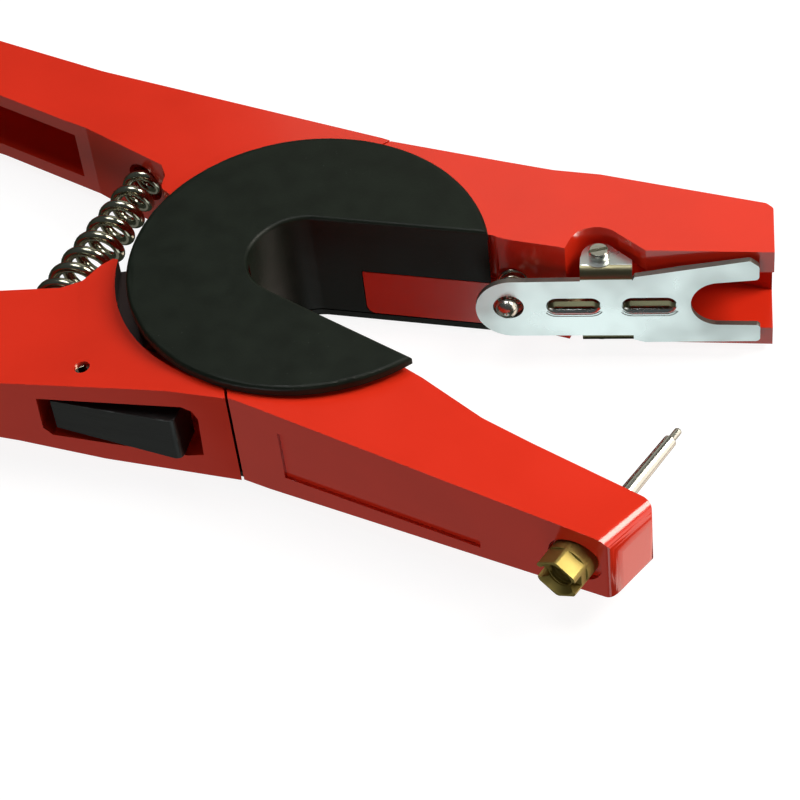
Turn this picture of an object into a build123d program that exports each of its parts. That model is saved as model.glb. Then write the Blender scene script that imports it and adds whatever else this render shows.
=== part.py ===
"""Ear tag applicator: two crossing levers under a C shaped cover, a pin and nut on the
lower jaw, and a sprung forked clip on the upper jaw.

Millimetres, +Z up. The origin is on the main pivot's axis, in the plane the tool lies
on. +X points to the jaws and +Y to the clip's jaw. The tool is drawn with its jaws
open, which is how the return spring holds it.
"""
import os
from math import atan2, cos, degrees, pi, radians, sin, tan

from build123d import *

# Cover, a flat C above and below the levers
COVER_X = 24.4
COVER_R = 36.4
PLATE_T = 2.0
COVER_H = 28.0
THROAT_R = 11.1
THROAT_X = 23.5
THROAT_FLARE = 12.0
WALL_T = 1.6
WALL_END_Y = -3.8
WINDOW_X = 29.2
MID_Z = COVER_H / 2
COVER_EDGE = 0.9

# Levers
LIFT = 0.3
CAST_LOW = PLATE_T + LIFT
CAST_TOP = COVER_H - PLATE_T - LIFT
LAP_GAP = 0.5
EYE_R = 10.2
EYE_ROOM = EYE_R + 0.6
SEAM_GAP = 0.4
BOLT_R = 4.0
BOLT_PLAY = 0.05
BOLT_HEAD_R = 6.6
BOLT_HEAD_H = 3.4
RECESS_R = 7.2
RECESS_D = 4.0
WASHER_T = 0.8
THRUST_T = 0.4

# Handles
HANDLE_X = -134.0
HANDLE_LOW = 7.1
HANDLE_TOP = CAST_TOP - 4.8
FAR_LOW = 2.0
GRIP_X = -47.0
GRIP_FLANGE = 3.4

# Clip jaw
JAW_TOP = CAST_TOP + 1.0
JAW_LOW = CAST_LOW - 1.0
CHANNEL_LOW = 5.9
CHANNEL_TOP = 21.3
NOTCH_Y = 22.9
NOTCH_R = 5.6

# Clip plate: a frame on its front face, u along it from the guide stud
CLIP_X = COVER_X + COVER_R + 0.7
CLIP_Y = 12.9
JAW_X = CLIP_X + 49.1
NOTCH_X = CLIP_X + 15.5
CLIP_ANGLE = 20.2
CLIP_T = 1.2
CLIP_MID = 13.4
FORK_U = 42.4
FORK_R = 5.8
FORK_Z = 14.4
EAR_U = 18.5
EAR_LEFT = 14.8
EAR_RIGHT = 25.1
EAR_DEPTH = 4.9
EAR_R = 3.5
EAR_TOP = 23.5
CLIP_SCREW_R = 1.25
CLIP_SCREW_PLAY = 0.05
CLIP_HEAD = 1.4
HUB_R = 2.6
HUB_GAP = 0.3

# Guide stud and its spring
STUD_R = 1.3
STUD_HEAD_R = 2.3
STUD_Z = 14.3
STUD_HOLE_R = 3.1
CLIP_SPRING_R = 2.8
CLIP_SPRING_U = 0.8
CLIP_WIRE = 0.8
CLIP_SEAT = 8.4

# Applicator pin and its nut
PIN_X = 98.0
PIN_Y = -45.9
PIN_ANGLE = 79.3
PIN_Z = MID_Z
PIN_TIP_R = 0.75
PIN_SHANK_R = 2.6
NUT_R = 4.5
NUT_OUT = 5.5
NUT_SINK = 1.6
SINK_R = 5.0
NUT_FACE = 2.5
NUT_HEX = 3.8
NUT_SLOT = 2.8
NUT_SLOT_D = 2.2
NUT_MOUTH = 1.1
PIN_START = 1.0
PIN_BASE = 15.2
PIN_STEP = 36.9
PIN_END = 39.8
PIN_BASE_R = 1.6
PIN_NECK_R = 1.3

# Thumb latch in the handle on the clip's side
LATCH_X = -6.1
LATCH_Y = -39.0
LATCH_ANGLE = 10.6
LATCH_PIN_R = 1.6
LATCH_PLAY = 0.05
LATCH_TAIL = 3.8
LATCH_DEPTH = 5.1
LATCH_SPRING_U = 13.0
LATCH_SPRING_ROOM = 2.5
LATCH_SPRING_R = 1.7
LATCH_WIRE = 0.6
LATCH_WELL = 3.0
LATCH_SLOT = [(-8.9, 10.4), (-7.2, 8.6), (21.1, 7.6), (24.5, 8.4), (24.9, 18.6), (23.9, 20.7),
              (22.0, 21.6), (-8.7, 18.7)]

# Return spring: from its seat in the near handle it leans a little to the far one
SPRING_X = -26.0
SPRING_Y = -26.6
SPRING_LEAN = 1.7
SPRING_LENGTH = 53.0
SPRING_WIRE = 2.0
SPRING_BIG = 5.2
SPRING_SMALL = 2.6
SPRING_TURNS = 10
POCKET_R = 4.6
SEAT_R = 6.6

# Cover screws, each by how far in from the rim it stands and its angle round the cover
SCREW_PLACES = [(6.8, 49.8), (6.6, 83.1), (4.6, 225.3)]
SCREWS = [(COVER_X + (COVER_R - inset) * cos(radians(turn)), (COVER_R - inset) * sin(radians(turn)))
          for inset, turn in SCREW_PLACES]
SCREW_R = 1.5
SCREW_HEAD_R = 2.8
SCREW_HEAD_H = 1.6
SCREW_TOP = 22.0
POST_R = 2.6
PAD_R = 4.2
POST_PLAY = 0.4

# Seams in plan, from near the pivot out to the open stops. The pin lever keeps
# SEAM_GAP clear of both.
NEAR_SEAM = [(-3.0, -8.0), (-3.0, -16.0), (15.6, -22.4), (25.8, -38.6)]
FAR_SEAM = [(24.3, 39.7), (5.4, 8.6)]

# Pin jaw: the two corners of its nose in plan, and how far its edges are rounded
NOSE = [(106.0, -43.8), (112.6, -32.3)]
NOSE_TOP = CAST_TOP - 4.25
NOSE_LOW = 6.6
NOSE_TOP_R = 3.6
NOSE_LOW_R = 2.0
NOSE_SIDE_R = 2.0

# Groove round the cover in the near handle: its outer wall is an arc, its floor is low
GROOVE_X = 23.6
GROOVE_Y = 4.9
GROOVE_R = COVER_R + 4.7
GROOVE_FLOOR = CAST_TOP - 6.7
WINDOW_R = 2.0

BASE = (Align.CENTER, Align.CENTER, Align.MIN)
os.makedirs("parts", exist_ok=True)


def shifted(points, dx, dy):
    """The points moved by dx, dy."""
    return [(x + dx, y + dy) for x, y in points]


def clip_plane(u=0.0, z=0.0, depth=0.0):
    """A plane on the clip's front face: x runs along the clip, y is up."""
    a = radians(CLIP_ANGLE)
    at = (CLIP_X + u * cos(a) - depth * sin(a), CLIP_Y + u * sin(a) + depth * cos(a), z)
    return Plane(origin=at, x_dir=(cos(a), sin(a), 0), z_dir=(sin(a), -cos(a), 0))


def pin_plane(along=0.0):
    """A plane across the applicator pin, its normal along the pin to its tip."""
    a = radians(PIN_ANGLE)
    at = (PIN_X + along * cos(a), PIN_Y + along * sin(a), PIN_Z)
    return Plane(origin=at, x_dir=(sin(a), -cos(a), 0), z_dir=(cos(a), sin(a), 0))


def outer_plane(x, y, angle, z=0.0, inward=0.0):
    """A plane on a jaw's or handle's outer face, its normal out to -Y."""
    a = radians(angle)
    at = (x - inward * sin(a), y + inward * cos(a), z)
    return Plane(origin=at, x_dir=(cos(a), sin(a), 0), z_dir=(sin(a), -cos(a), 0))


def spring_plane(along=0.0):
    """A plane across the return spring, its normal along it to the far handle."""
    a = radians(SPRING_LEAN)
    at = (SPRING_X - along * sin(a), SPRING_Y + along * cos(a), MID_Z)
    return Plane(origin=at, x_dir=(cos(a), sin(a), 0), z_dir=(-sin(a), cos(a), 0))


def throat_half(x):
    """Half the throat's width at X, on its straight flare."""
    t = radians(THROAT_FLARE)
    return THROAT_R / cos(t) + (x - THROAT_X) * tan(t)


def add_throat(grow, mode):
    """The throat in plan, set back by grow: a round root and two flared sides."""
    t = radians(THROAT_FLARE)
    r = THROAT_R + grow
    x0 = THROAT_X - r * sin(t)
    far = 72.0
    reach = r * cos(t) + (far - x0) * tan(t)
    with Locations((THROAT_X, 0)):
        Circle(r, mode=mode)
    Polygon((x0, -r * cos(t)), (far, -reach), (far, reach), (x0, r * cos(t)), align=None,
            mode=mode)


def cut_profile(points):
    """Keep what lies inside a side view outline, given as X, Z."""
    with BuildSketch(Plane.XZ) as side:
        Polygon(*points, align=None)
    extrude(side.sketch, amount=200, both=True, mode=Mode.INTERSECT)


def round_corners(builder, spans):
    """Round the upright edges that lie between two X values, for each low, high, radius."""
    for low, high, radius in spans:
        upright = builder.edges().filter_by(Axis.Z)
        fillet(upright.filter_by_position(Axis.X, low, high), radius)


def add_window(gap):
    """The wall's window in side view, grown by gap, with a round corner at its root."""
    left = WINDOW_X - gap
    low = CAST_LOW - gap
    r = WINDOW_R + gap
    Polygon((left + r, low), (80, low), (80, MID_Z + 0.1), (left, MID_Z + 0.1),
            (left, low + r), align=None)
    with Locations((left + r, low + r)):
        Circle(r)


def round_nose(face, slope):
    """Round the top and bottom edges of a jaw's end face, which starts at face."""
    along = outer_plane(*face, slope).x_dir
    out = Vector(along.Y, -along.X, 0)
    with BuildSketch(Plane(origin=(*face, 0), x_dir=out, z_dir=along)) as spandrels:
        for z, r, up in ((NOSE_TOP, NOSE_TOP_R, 1), (NOSE_LOW, NOSE_LOW_R, -1)):
            mid = z - up * r
            Polygon((-r, mid), (3, mid), (3, mid + up * 9), (-r, mid + up * 9), align=None)
            with Locations((-r, mid)):
                Circle(r, mode=Mode.SUBTRACT)
    extrude(spandrels.sketch, amount=40, both=True, mode=Mode.SUBTRACT)


def labelled(builder, name):
    """The finished solid, named for its node."""
    builder.part.label = name
    return builder.part


def coil(plane, radius, pitch, height, wire, end_radius=None):
    """A wire coil that stands on the plane and winds along its normal."""
    shrink = (end_radius or radius) - radius
    steps = round(8 * height / pitch)
    points = []
    for step in range(steps + 1):
        part = step / steps
        angle = 2 * pi * part * height / pitch
        r = radius + shrink * part
        points.append(plane.from_local_coords((r * cos(angle), r * sin(angle), part * height)))
    with BuildPart() as wound:
        with BuildLine() as path:
            Spline(*points)
        with BuildSketch(Plane(origin=path.line @ 0, z_dir=path.line % 0)):
            Circle(wire / 2)
        sweep(path=path.line, is_frenet=True)
    return wound


def make_pin_lever():
    """The lever with the far handle and the near jaw, which carries the pin."""
    seam = shifted(FAR_SEAM, -SEAM_GAP, 0.2)
    handle = seam + [(1.0, 0.0), (-8.6, 5.4), (-13.0, 11.6), (-17.6, 13.8), (-18.5, 17.6),
                     (-21.1, 20.5), (-32.2, 23.6), (-43.8, 26.9), (-71.3, 31.2),
                     (HANDLE_X, 36.2), (HANDLE_X, 51.6), (-34.9, 44.4)]
    seam = shifted(NEAR_SEAM, SEAM_GAP, 0.3)
    jaw = [(1.0, 0.0)] + seam + [NOSE[0], NOSE[1], (108.8, -31.0), (84.0, -26.8),
                                 (73.0, -24.6), (58.3, -19.5), (54.2, -18.4),
                                 (20.0, -12.9), (13.0, -10.0), (9.3, -10.4),
                                 (6.6, -7.6)]
    with BuildPart() as pin_lever:
        with BuildSketch() as plan:
            Circle(EYE_R)
            Polygon(*handle, align=None)
            Polygon(*jaw, align=None)
            ends = plan.vertices().sort_by(Axis.X)
            fillet([ends[-1], ends[-3]], NOSE_SIDE_R)
        extrude(amount=COVER_H)
        cut_profile([(HANDLE_X - 5, FAR_LOW), (-20, FAR_LOW), (-10, CAST_LOW),
                     (32, CAST_LOW), (106, 6.3), (116, 6.8), (116, NOSE_TOP - 0.25),
                     (106, NOSE_TOP + 0.25), (30, CAST_TOP), (22, CAST_TOP),
                     (-20, CAST_TOP - 3.4), (-50, HANDLE_TOP),
                     (HANDLE_X - 5, HANDLE_TOP)])
        nose = NOSE[1][0] - NOSE[0][0], NOSE[1][1] - NOSE[0][1]
        round_nose(NOSE[0], degrees(atan2(nose[1], nose[0])))
        # the lap's lower half is the other lever's
        Cylinder(EYE_ROOM, MID_Z + LAP_GAP / 2, align=BASE, mode=Mode.SUBTRACT)
        round_corners(pin_lever, [(HANDLE_X - 1, HANDLE_X + 1, 5.5),
                                  (-48, -40, 10.0), (-19.5, -18.0, 2.0),
                                  (-17.8, -17.0, 2.5), (70, 75, 12.0)])
        # bolt bore and nut recess
        Cylinder(BOLT_R + BOLT_PLAY, 40, align=BASE, mode=Mode.SUBTRACT)
        with Locations((0, 0, CAST_TOP - RECESS_D)):
            Cylinder(RECESS_R, 10, align=BASE, mode=Mode.SUBTRACT)
        # hollow grip, open to the other handle
        with BuildSketch(Plane.XY.offset(FAR_LOW + GRIP_FLANGE)):
            Polygon((GRIP_X, 24.0), (GRIP_X - 3, 41.8), (HANDLE_X + 6, 48.0),
                    (HANDLE_X + 6, 28.0), align=None)
        extrude(amount=HANDLE_TOP - FAR_LOW - 2 * GRIP_FLANGE, mode=Mode.SUBTRACT)
        # blind pocket for the return spring's narrow end
        with BuildSketch(spring_plane(SPRING_LENGTH)):
            Circle(POCKET_R)
        extrude(amount=-20, mode=Mode.SUBTRACT)
        # counterbore for the nut, bore for the pin's shank
        with BuildSketch(pin_plane(-1)):
            Circle(SINK_R)
        extrude(amount=NUT_FACE + NUT_SINK + 1, mode=Mode.SUBTRACT)
        with BuildSketch(pin_plane(0)):
            Circle(PIN_SHANK_R)
        extrude(amount=30, mode=Mode.SUBTRACT)
        # bare recessed panel on the outer face
        face = seam[-1]
        slope = degrees(atan2(NOSE[0][1] - face[1], NOSE[0][0] - face[0]))
        with BuildSketch(outer_plane(*face, slope)):
            Polygon((10.2, 7.5), (53.0, 7.5), (53.0, 19.6), (10.2, 20.2), align=None)
        extrude(amount=-0.7, mode=Mode.SUBTRACT)
    return labelled(pin_lever, "pin_lever")


def cut_window_corner():
    """Round the corner of the casting that stands in the wall's window."""
    with BuildSketch(Plane.XZ.offset(-throat_half(WINDOW_X) + 1)) as corner:
        Polygon((WINDOW_X - 1, 0), (WINDOW_X + WINDOW_R, 0),
                (WINDOW_X + WINDOW_R, CAST_LOW + WINDOW_R),
                (WINDOW_X - 1, CAST_LOW + WINDOW_R), align=None)
        with Locations((WINDOW_X + WINDOW_R, CAST_LOW + WINDOW_R)):
            Circle(WINDOW_R, mode=Mode.SUBTRACT)
    extrude(corner.sketch, amount=-WALL_T - LIFT - 1, mode=Mode.SUBTRACT)


def make_clip_lever():
    """The lever with the near handle and the far jaw, which carries the clip."""
    handle = NEAR_SEAM + [(HANDLE_X, -68.3), (HANDLE_X, -53.6), (-70.0, -38.6),
                          (-34.6, -24.4), (-22.8, -19.5), (-19.4, -16.4), (-18.7, -14.0),
                          (-18.0, -11.2), (-16.4, -8.7), (-15.2, -8.7), (0.0, 0.0)]
    wall = WALL_T + LIFT
    wall_end = CLIP_X - 5.5
    tip = shifted([(-4.5, 19.9), (10.5, 20.4), (25.1, 25.0), (49.1, 32.8), (44.7, 44.9),
                   (42.9, 45.8), (27.4, 44.6)], CLIP_X, 0)
    jaw = [(1.0, -1.0), (9.9, 1.0), (10.8, 5.5), (15.5, 10.9), (17.5, 13.4),
           (WINDOW_X, throat_half(WINDOW_X) + wall),
           (wall_end, throat_half(wall_end) + wall)] + tip + [(48.8, 41.4)] + FAR_SEAM
    with BuildPart() as clip_lever:
        with BuildSketch():
            Circle(EYE_R)
            Polygon(*handle, align=None)
            Polygon(*jaw, align=None)
        extrude(amount=COVER_H)
        # the lower half stands flush in the cover's window
        with BuildSketch():
            Polygon((WINDOW_X, throat_half(WINDOW_X)),
                    (wall_end - 0.8, throat_half(wall_end - 0.8)),
                    (wall_end + 1.0, 20.2), (WINDOW_X, 20.2), align=None)
        extrude(amount=MID_Z - 0.1)
        cut_window_corner()
        cut_profile([(HANDLE_X - 5, HANDLE_LOW), (-50, HANDLE_LOW), (-20, 5.5),
                     (-2, 3.4), (20, CAST_LOW), (CLIP_X - 4.5, CAST_LOW),
                     (CLIP_X - 2, JAW_LOW), (JAW_X + 5, JAW_LOW), (JAW_X + 5, JAW_TOP),
                     (CLIP_X + 8.5, JAW_TOP), (CLIP_X - 1.5, CAST_TOP), (14, CAST_TOP),
                     (7, CAST_TOP - 0.7), (-20, CAST_TOP - 3.7), (-50, HANDLE_TOP),
                     (HANDLE_X - 5, HANDLE_TOP)])
        round_corners(clip_lever, [(JAW_X - 7.6, JAW_X - 2.6, 1.4), (HANDLE_X - 1, HANDLE_X + 1, 5.5),
                                   (-24, -22, 2.0), (-20, -18.8, 2.0)])
        # the lap's upper half is the other lever's
        with Locations((0, 0, MID_Z - LAP_GAP / 2)):
            Cylinder(EYE_ROOM, 20, align=BASE, mode=Mode.SUBTRACT)
        # groove round the cover, as deep as the cover needs
        with BuildSketch(Plane.XY.offset(GROOVE_FLOOR)):
            with Locations((GROOVE_X, GROOVE_Y)):
                Circle(GROOVE_R)
            Polygon((-30, -5), (30, -5), (30, -60), (-30, -60), align=None,
                    mode=Mode.INTERSECT)
        extrude(amount=COVER_H, mode=Mode.SUBTRACT)
        # bolt bore and head recess
        Cylinder(BOLT_R, 40, align=BASE, mode=Mode.SUBTRACT)
        Cylinder(RECESS_R, CAST_LOW + RECESS_D, align=BASE, mode=Mode.SUBTRACT)
        # clip jaw: open channel, notch for the clip's ears, hub for its pivot
        with BuildSketch(Plane.XY.offset(CHANNEL_LOW)):
            channel = [(-3.4, 15.0), (-3.4, 30.0), (3.0, 40.9), (38.0, 43.9), (38.0, 15.0)]
            Polygon(*shifted(channel, NOTCH_X, 0), align=None)
        extrude(amount=CHANNEL_TOP - CHANNEL_LOW, mode=Mode.SUBTRACT)
        with BuildSketch():
            with Locations((NOTCH_X, NOTCH_Y)):
                Circle(NOTCH_R)
            notch = [(-5.6, 18.0), (-5.6, 22.6), (3.0, 27.7), (9.8, 25.0), (11.0, 18.0)]
            Polygon(*shifted(notch, NOTCH_X, 0), align=None)
        extrude(amount=COVER_H, mode=Mode.SUBTRACT)
        hub = clip_plane(EAR_U, 0, EAR_DEPTH).origin
        hub_low = 2 * CLIP_MID - EAR_TOP + CLIP_T + HUB_GAP
        hub_top = EAR_TOP - CLIP_T - HUB_GAP
        with BuildSketch(Plane.XY.offset(hub_low)):
            with Locations((hub.X, hub.Y)):
                Circle(HUB_R)
            Polygon((hub.X - 2.2, hub.Y), (hub.X + 2.2, hub.Y), (hub.X + 2.6, 43.0),
                    (hub.X - 2.6, 43.0), align=None)
        extrude(amount=hub_top - hub_low)
        with Locations((hub.X, hub.Y)):
            Cylinder(CLIP_SCREW_R + CLIP_SCREW_PLAY, 60, mode=Mode.SUBTRACT)
        # bore for the guide stud
        with BuildSketch(clip_plane(0, STUD_Z, 3)):
            Circle(STUD_R)
        extrude(amount=-18, mode=Mode.SUBTRACT)
        # seat for the clip's spring, round the stud
        with BuildSketch(clip_plane(CLIP_SPRING_U, STUD_Z, CLIP_SEAT)):
            Circle(CLIP_SPRING_R + CLIP_WIRE / 2 + 0.4)
        extrude(amount=8, mode=Mode.SUBTRACT)
        # blind pocket for the return spring's wide end
        with BuildSketch(spring_plane()):
            Circle(SEAT_R)
        extrude(amount=20, mode=Mode.SUBTRACT)
        # hollow grip, open to the other handle
        with BuildSketch(Plane.XY.offset(HANDLE_LOW + GRIP_FLANGE)):
            Polygon((GRIP_X, -24.0), (GRIP_X - 3, -47.6), (HANDLE_X + 6, -63.2),
                    (HANDLE_X + 6, -45.0), align=None)
        extrude(amount=HANDLE_TOP - HANDLE_LOW - 2 * GRIP_FLANGE, mode=Mode.SUBTRACT)
        # slot for the latch, its pin's bore and its spring's pocket
        for depth, left, right in ((LATCH_TAIL, -10, 5), (LATCH_DEPTH, 4, 26)):
            with BuildSketch(outer_plane(LATCH_X, LATCH_Y, LATCH_ANGLE, 0, depth)):
                Polygon(*LATCH_SLOT, align=None)
                Polygon((left, 0), (right, 0), (right, 30), (left, 30), align=None,
                        mode=Mode.INTERSECT)
            extrude(amount=18, mode=Mode.SUBTRACT)
        with Locations((LATCH_X, LATCH_Y)):
            Cylinder(LATCH_PIN_R, 60, mode=Mode.SUBTRACT)
        with BuildSketch(outer_plane(LATCH_X, LATCH_Y, LATCH_ANGLE, MID_Z, LATCH_DEPTH)):
            with Locations((LATCH_SPRING_U, 0)):
                Circle(LATCH_SPRING_ROOM)
        extrude(amount=-LATCH_WELL, mode=Mode.SUBTRACT)
        # pads and bores for the cover's screws and posts
        with Locations((*SCREWS[-1], PLATE_T)):
            Cylinder(PAD_R, COVER_H - 2 * PLATE_T, align=BASE)
        with Locations(*SCREWS):
            Cylinder(SCREW_R + 0.2, 60, mode=Mode.SUBTRACT)
        with Locations(*[(x, y, MID_Z) for x, y in SCREWS]):
            Cylinder(POST_R + POST_PLAY, 20, align=BASE, mode=Mode.SUBTRACT)
    return labelled(clip_lever, "clip_lever")


def add_cover_plan():
    """The C in plan, at the centre of the open sketch."""
    with Locations((COVER_X, 0)):
        Circle(COVER_R)
    add_throat(0, Mode.SUBTRACT)


def make_cover_top():
    """The cover's upper half, with the throat's wall and the screw posts."""
    with BuildPart() as cover_top:
        with BuildSketch(Plane.XY.offset(COVER_H - PLATE_T)):
            add_cover_plan()
        extrude(amount=PLATE_T)
        rim = cover_top.edges().group_by(Axis.Z)[-1]
        fillet(rim, COVER_EDGE)
        with BuildSketch(Plane.XY.offset(CAST_LOW)):
            add_wall_plan()
        extrude(amount=COVER_H - PLATE_T - CAST_LOW + 0.2)
        # window: below mid height the casting stands flush in the wall
        with BuildSketch(Plane.XZ) as window:
            add_window(0.2)
        extrude(window.sketch, amount=-60, mode=Mode.SUBTRACT)
        with Locations(*[(x, y, MID_Z + 0.5) for x, y in SCREWS]):
            Cylinder(POST_R, COVER_H - PLATE_T - MID_Z, align=BASE)
        with Locations(*[(x, y, MID_Z) for x, y in SCREWS]):
            Cylinder(SCREW_R, SCREW_TOP + 0.5 - MID_Z, align=BASE, mode=Mode.SUBTRACT)
    return labelled(cover_top, "cover_top")


def add_wall_plan():
    """The throat's wall in plan, round its root and along the clip's jaw."""
    add_throat(WALL_T, Mode.ADD)
    add_throat(0, Mode.SUBTRACT)
    with Locations((COVER_X, 0)):
        Circle(COVER_R - 0.2, mode=Mode.INTERSECT)
    Polygon((0, WALL_END_Y), (90, WALL_END_Y), (90, -60), (0, -60), align=None,
            mode=Mode.SUBTRACT)


def make_cover_bottom():
    """The cover's lower half, which the tool lies on."""
    with BuildPart() as cover_bottom:
        with BuildSketch():
            add_cover_plan()
        extrude(amount=PLATE_T)
        fillet(cover_bottom.edges().group_by(Axis.Z)[0], COVER_EDGE)
        for x, y in SCREWS:
            with Locations((x, y, 0)):
                Cylinder(SCREW_R + 0.2, 10, mode=Mode.SUBTRACT)
            with Locations((x, y, SCREW_HEAD_H / 2)):
                Cone(SCREW_HEAD_R + 0.1, SCREW_R + 0.2, SCREW_HEAD_H, mode=Mode.SUBTRACT)
    return labelled(cover_bottom, "cover_bottom")


def make_cover_screws():
    """Three countersunk screws, from below into the top cover's posts."""
    with BuildPart() as cover_screws:
        for x, y in SCREWS:
            with Locations((x, y, SCREW_HEAD_H / 2)):
                Cone(SCREW_HEAD_R, SCREW_R, SCREW_HEAD_H)
            with Locations((x, y, SCREW_HEAD_H)):
                Cylinder(SCREW_R, SCREW_TOP - SCREW_HEAD_H, align=BASE)
            with Locations((x, y, 0)):
                Box(SCREW_HEAD_R * 1.2, 0.7, 0.8, align=BASE, mode=Mode.SUBTRACT)
                Box(0.7, SCREW_HEAD_R * 1.2, 0.8, align=BASE, mode=Mode.SUBTRACT)
    return labelled(cover_screws, "cover_screws")


def make_pivot_bolt():
    """The main pivot: a low hexagon head below and a shank through both eyes."""
    with BuildPart() as pivot_bolt:
        Cylinder(BOLT_R, CAST_TOP - 0.8, align=BASE)
        Cylinder(BOLT_R + 1, CAST_LOW + RECESS_D - BOLT_HEAD_H, align=BASE,
                 mode=Mode.SUBTRACT)
        with BuildSketch(Plane.XY.offset(CAST_LOW + RECESS_D - BOLT_HEAD_H)):
            RegularPolygon(BOLT_HEAD_R, 6)
        extrude(amount=BOLT_HEAD_H)
        chamfer(pivot_bolt.edges().group_by(Axis.Z)[-1], 0.6)
    return labelled(pivot_bolt, "pivot_bolt")


def make_pivot_nut():
    """The hexagon nut on the main pivot."""
    floor = CAST_TOP - RECESS_D + WASHER_T + 0.1
    with BuildPart() as pivot_nut:
        with BuildSketch(Plane.XY.offset(floor)):
            RegularPolygon(BOLT_HEAD_R, 6)
            Circle(BOLT_R, mode=Mode.SUBTRACT)
        extrude(amount=2.6)
    return labelled(pivot_nut, "pivot_nut")


def make_pivot_washer():
    """The washer under the nut."""
    with BuildPart() as pivot_washer:
        with BuildSketch(Plane.XY.offset(CAST_TOP - RECESS_D + 0.1)):
            Circle(BOLT_HEAD_R + 0.2)
            Circle(BOLT_R, mode=Mode.SUBTRACT)
        extrude(amount=WASHER_T)
    return labelled(pivot_washer, "pivot_washer")


def make_thrust_washer():
    """The thin washer between the two eyes."""
    with BuildPart() as thrust_washer:
        with BuildSketch(Plane.XY.offset(MID_Z - LAP_GAP / 2)):
            Circle(EYE_R - 0.6)
            Circle(BOLT_R, mode=Mode.SUBTRACT)
        extrude(amount=THRUST_T)
    return labelled(thrust_washer, "thrust_washer")


def make_return_spring():
    """The conical spring that holds the handles apart."""
    height = SPRING_LENGTH - SPRING_WIRE - 0.3
    spring = coil(spring_plane(SPRING_WIRE / 2), SPRING_BIG, height / SPRING_TURNS, height,
                  SPRING_WIRE, SPRING_SMALL)
    return labelled(spring, "return_spring")


def make_applicator_pin():
    """The tapered pin that pushes the tag's stud through, stepped at its tip."""
    with BuildPart() as applicator_pin:
        with BuildSketch(pin_side()):
            Polygon((0, PIN_START), (PIN_SHANK_R - 0.4, PIN_START),
                    (PIN_SHANK_R, PIN_START + 0.4), (PIN_SHANK_R, PIN_BASE),
                    (PIN_BASE_R, PIN_BASE), (PIN_NECK_R, PIN_STEP - 0.3),
                    (PIN_TIP_R + 0.2, PIN_STEP), (PIN_TIP_R, PIN_STEP + 0.1),
                    (PIN_TIP_R, PIN_END - 0.3), (PIN_TIP_R - 0.3, PIN_END),
                    (0, PIN_END), align=None)
        revolve(axis=pin_axis())
    return labelled(applicator_pin, "applicator_pin")


def make_pin_nut():
    """The brass nut outside the jaw: a collar, and a hexagon with a slot across its mouth."""
    low = NUT_FACE - NUT_OUT
    with BuildPart() as pin_nut:
        with BuildSketch(pin_plane(low + NUT_HEX)):
            Circle(NUT_R)
        extrude(amount=NUT_OUT + NUT_SINK - NUT_HEX)
        with BuildSketch(pin_plane(low)):
            RegularPolygon(NUT_R + 0.2, 6, rotation=30)
            Circle(NUT_R, mode=Mode.INTERSECT)
        extrude(amount=NUT_HEX)
        with BuildSketch(pin_plane(low)):
            Circle(PIN_SHANK_R)
        extrude(amount=NUT_OUT + NUT_SINK, mode=Mode.SUBTRACT)
        ends = pin_nut.edges().filter_by(GeomType.CIRCLE)
        bores = ends.filter_by(lambda e: abs(e.radius - PIN_SHANK_R) < 0.01)
        chamfer(bores.sort_by(Axis.Y)[0], NUT_MOUTH)
        with BuildSketch(pin_plane(low - 0.1)):
            Rectangle(3 * NUT_R, NUT_SLOT)
        extrude(amount=NUT_SLOT_D + 0.1, mode=Mode.SUBTRACT)
    return labelled(pin_nut, "pin_nut")


def pin_side():
    """The pin's side view: x is the radius and y runs along the pin."""
    a = radians(PIN_ANGLE)
    return Plane((PIN_X, PIN_Y, PIN_Z), x_dir=(sin(a), -cos(a), 0), z_dir=(0, 0, 1))


def pin_axis():
    """The pin's axis."""
    a = radians(PIN_ANGLE)
    return Axis((PIN_X, PIN_Y, PIN_Z), (cos(a), sin(a), 0))


def clip_plan(z):
    """The clip in plan at height z: x along it, y back from its front face."""
    a = radians(CLIP_ANGLE)
    return Plane((CLIP_X, CLIP_Y, z), x_dir=(cos(a), sin(a), 0), z_dir=(0, 0, 1))


def clip_side(u):
    """The clip's side view at u: x back from its front face, y up."""
    a = radians(CLIP_ANGLE)
    at = (CLIP_X + u * cos(a), CLIP_Y + u * sin(a), 0)
    return Plane(at, x_dir=(-sin(a), cos(a), 0), z_dir=(cos(a), sin(a), 0))


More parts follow.
